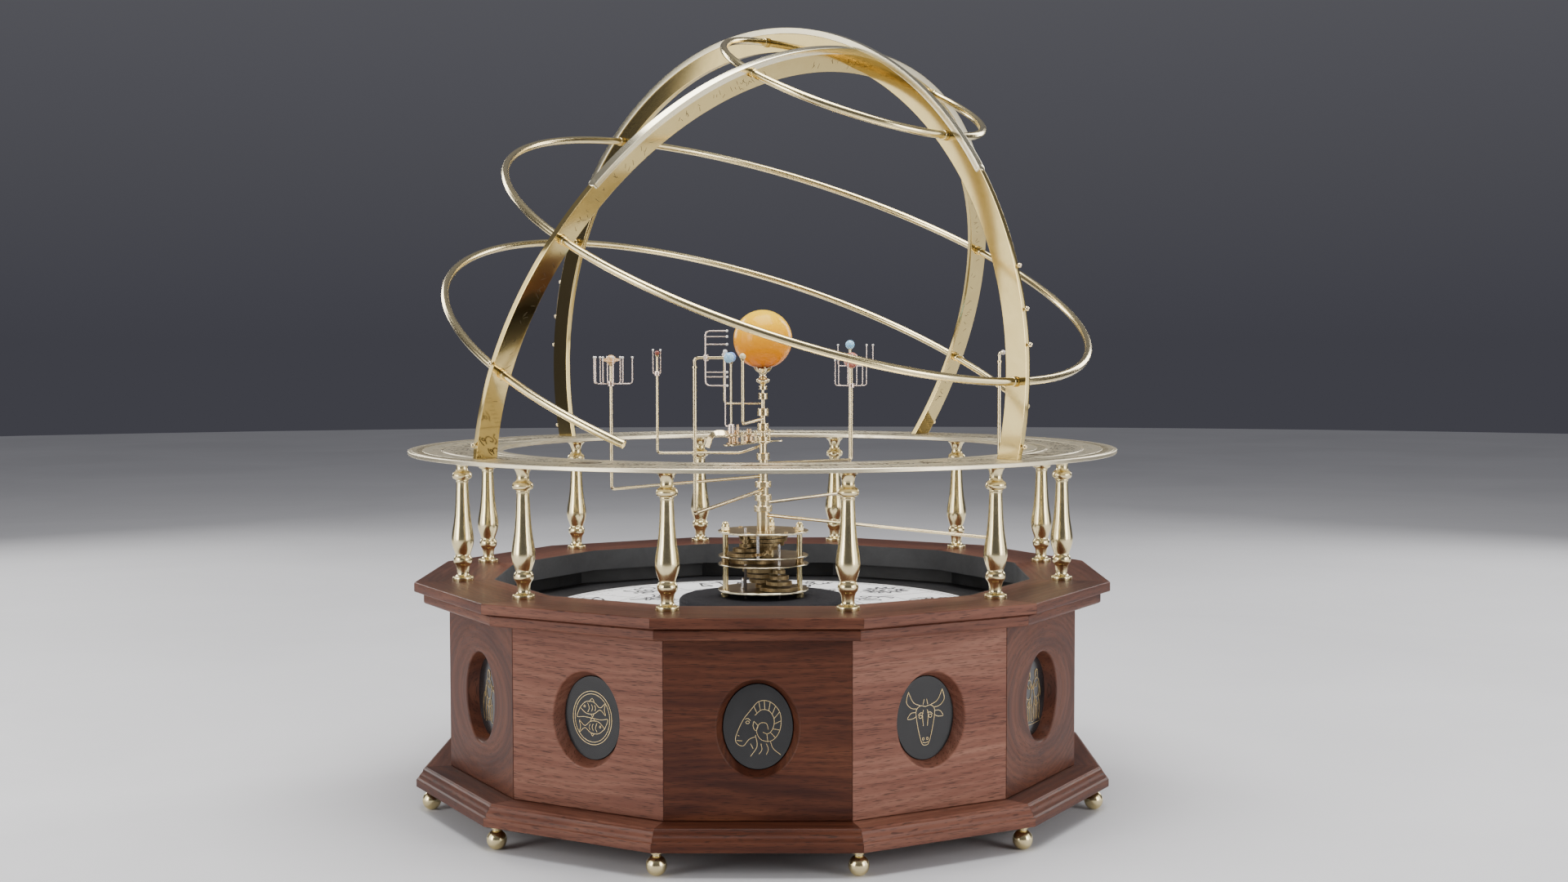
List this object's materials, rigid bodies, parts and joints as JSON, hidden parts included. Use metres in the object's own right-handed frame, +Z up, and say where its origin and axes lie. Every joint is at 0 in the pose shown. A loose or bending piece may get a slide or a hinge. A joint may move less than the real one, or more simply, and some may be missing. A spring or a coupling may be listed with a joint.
{
  "type": "orrery",
  "caption": "Grand orrery: a twelve-sided walnut cabinet with a balustrade, an engraved zodiac ring, a brass armillary dome and geared planet arms that turn about a central sun.",
  "frame": {"origin": "on the floor, under the centre rod, at the middle of the feet", "axes": "+Z up along the centre rod; -Y towards the viewer of the front panel; +X to the viewer's right"},
  "size_m": [0.76, 0.76, 0.8258],
  "materials": {
    "walnut": "satin varnish",
    "polished_brass": "polished",
    "planet_brass": "polished",
    "aged_brass": "aged",
    "steel": "turned",
    "moon_wire": "polished",
    "black_paint": "satin",
    "charcoal": "satin",
    "chart": "matt print",
    "sun": "gloss",
    "mercury": "gloss",
    "venus": "gloss",
    "earth": "gloss",
    "mars": "gloss",
    "jupiter": "gloss",
    "saturn": "gloss",
    "uranus": "gloss",
    "neptune": "gloss",
    "pluto": "gloss"
  },
  "bodies": {
    "cabinet": {"base_board": "walnut", "base_moulding": "walnut", "panel_drum": "walnut", "top_rail": "walnut", "well_tray": "black_paint", "star_chart_disc": "chart", "centre_pad": "charcoal", "drive_unit": "steel", "baluster_01": "polished_brass", "baluster_02": "polished_brass", "baluster_03": "polished_brass", "baluster_04": "polished_brass", "baluster_05": "polished_brass", "baluster_06": "polished_brass", "baluster_07": "polished_brass", "baluster_08": "polished_brass", "baluster_09": "polished_brass", "baluster_10": "polished_brass", "baluster_11": "polished_brass", "baluster_12": "polished_brass", "zodiac_ring": "polished_brass", "arch_band_left": "polished_brass", "arch_band_right": "polished_brass", "tropic_tube": "polished_brass", "arctic_tube": "polished_brass", "equator_tube": "polished_brass", "base_plate": "aged_brass", "middle_plates": "aged_brass", "top_plate": "aged_brass", "pillar_1": "polished_brass", "pillar_2": "polished_brass", "pillar_3": "polished_brass", "centre_rod": "polished_brass", "sun": "sun"},
    "mercury_arm": {"mercury_arm": "planet_brass", "mercury": "mercury"},
    "venus_arm": {"venus_arm": "planet_brass", "venus": "venus"},
    "earth_arm": {"earth_arm": "planet_brass", "earth": "earth"},
    "mars_arm": {"mars_arm": "planet_brass", "mars": "mars"},
    "jupiter_arm": {"jupiter_arm": "planet_brass", "jupiter": "jupiter"},
    "saturn_arm": {"saturn_arm": "planet_brass", "saturn": "saturn"},
    "uranus_arm": {"uranus_arm": "planet_brass", "uranus": "uranus"},
    "neptune_arm": {"neptune_arm": "planet_brass", "neptune": "neptune"},
    "pluto_arm": {"pluto_arm": "planet_brass", "pluto": "pluto"},
    "moon_arm": {"moon_arm": "moon_wire"},
    "mars_moons": {"mars_moons": "moon_wire"},
    "jupiter_moons": {"jupiter_moons": "moon_wire"},
    "saturn_moons": {"saturn_moons": "moon_wire"},
    "neptune_moons": {"neptune_moons": "moon_wire"},
    "uranus_moons": {"uranus_moons": "moon_wire"},
    "fast_layshaft": {"fast_layshaft": "aged_brass"},
    "slow_layshaft": {"slow_layshaft": "aged_brass"}
  },
  "joints": [
    {"name": "mercury_orbit", "type": "hinge", "parent": "cabinet", "child": "mercury_arm", "pos_m": [0, 0, 0.35], "axis": [0, 0, 1], "continuous": true},
    {"name": "venus_orbit", "type": "hinge", "parent": "cabinet", "child": "venus_arm", "pos_m": [0, 0, 0.35], "axis": [0, 0, 1], "continuous": true},
    {"name": "earth_orbit", "type": "hinge", "parent": "cabinet", "child": "earth_arm", "pos_m": [0, 0, 0.35], "axis": [0, 0, 1], "continuous": true},
    {"name": "mars_orbit", "type": "hinge", "parent": "cabinet", "child": "mars_arm", "pos_m": [0, 0, 0.35], "axis": [0, 0, 1], "continuous": true},
    {"name": "jupiter_orbit", "type": "hinge", "parent": "cabinet", "child": "jupiter_arm", "pos_m": [0, 0, 0.35], "axis": [0, 0, 1], "continuous": true},
    {"name": "saturn_orbit", "type": "hinge", "parent": "cabinet", "child": "saturn_arm", "pos_m": [0, 0, 0.35], "axis": [0, 0, 1], "continuous": true},
    {"name": "uranus_orbit", "type": "hinge", "parent": "cabinet", "child": "uranus_arm", "pos_m": [0, 0, 0.35], "axis": [0, 0, 1], "continuous": true},
    {"name": "neptune_orbit", "type": "hinge", "parent": "cabinet", "child": "neptune_arm", "pos_m": [0, 0, 0.35], "axis": [0, 0, 1], "continuous": true},
    {"name": "pluto_orbit", "type": "hinge", "parent": "cabinet", "child": "pluto_arm", "pos_m": [0, 0, 0.35], "axis": [0, 0, 1], "continuous": true},
    {"name": "moon_orbit", "type": "hinge", "parent": "earth_arm", "child": "moon_arm", "pos_m": [-0.03214, -0.07761, 0.4], "axis": [0, 0, 1], "continuous": true},
    {"name": "mars_moons_turn", "type": "hinge", "parent": "mars_arm", "child": "mars_moons", "pos_m": [-0.115, 0, 0.45], "axis": [0, 0, 1], "continuous": true},
    {"name": "jupiter_moons_turn", "type": "hinge", "parent": "jupiter_arm", "child": "jupiter_moons", "pos_m": [0.09937, 0.11036, 0.45], "axis": [0, 0, 1], "continuous": true},
    {"name": "saturn_moons_turn", "type": "hinge", "parent": "saturn_arm", "child": "saturn_moons", "pos_m": [-0.15413, -0.11699, 0.45], "axis": [0, 0, 1], "continuous": true},
    {"name": "neptune_moons_turn", "type": "hinge", "parent": "neptune_arm", "child": "neptune_moons", "pos_m": [0.10127, 0.23403, 0.45], "axis": [0, 0, 1], "continuous": true},
    {"name": "uranus_moons_turn", "type": "hinge", "parent": "uranus_arm", "child": "uranus_moons", "pos_m": [-0.05131, -0.22248, 0.475], "axis": [0.9613, -0.2756, 0], "continuous": true},
    {"name": "fast_layshaft_spin", "type": "hinge", "parent": "cabinet", "child": "fast_layshaft", "pos_m": [0.01751, -0.02436, 0.23], "axis": [0, 0, 1], "continuous": true},
    {"name": "slow_layshaft_spin", "type": "hinge", "parent": "cabinet", "child": "slow_layshaft", "pos_m": [-0.01888, -0.02331, 0.27], "axis": [0, 0, 1], "continuous": true}
  ],
  "couplings": [
    {"joint": "mercury_orbit", "follows": "earth_orbit", "ratio": 4.1521},
    {"joint": "venus_orbit", "follows": "earth_orbit", "ratio": 1.6255},
    {"joint": "mars_orbit", "follows": "earth_orbit", "ratio": 0.5317},
    {"joint": "jupiter_orbit", "follows": "earth_orbit", "ratio": 0.0843},
    {"joint": "saturn_orbit", "follows": "earth_orbit", "ratio": 0.0339},
    {"joint": "uranus_orbit", "follows": "earth_orbit", "ratio": 0.0119},
    {"joint": "neptune_orbit", "follows": "earth_orbit", "ratio": 0.00607},
    {"joint": "pluto_orbit", "follows": "earth_orbit", "ratio": 0.00403},
    {"joint": "moon_orbit", "follows": "earth_orbit", "ratio": 12.368},
    {"joint": "fast_layshaft_spin", "follows": "earth_orbit", "ratio": -1.8},
    {"joint": "slow_layshaft_spin", "follows": "earth_orbit", "ratio": -0.04}
  ]
}
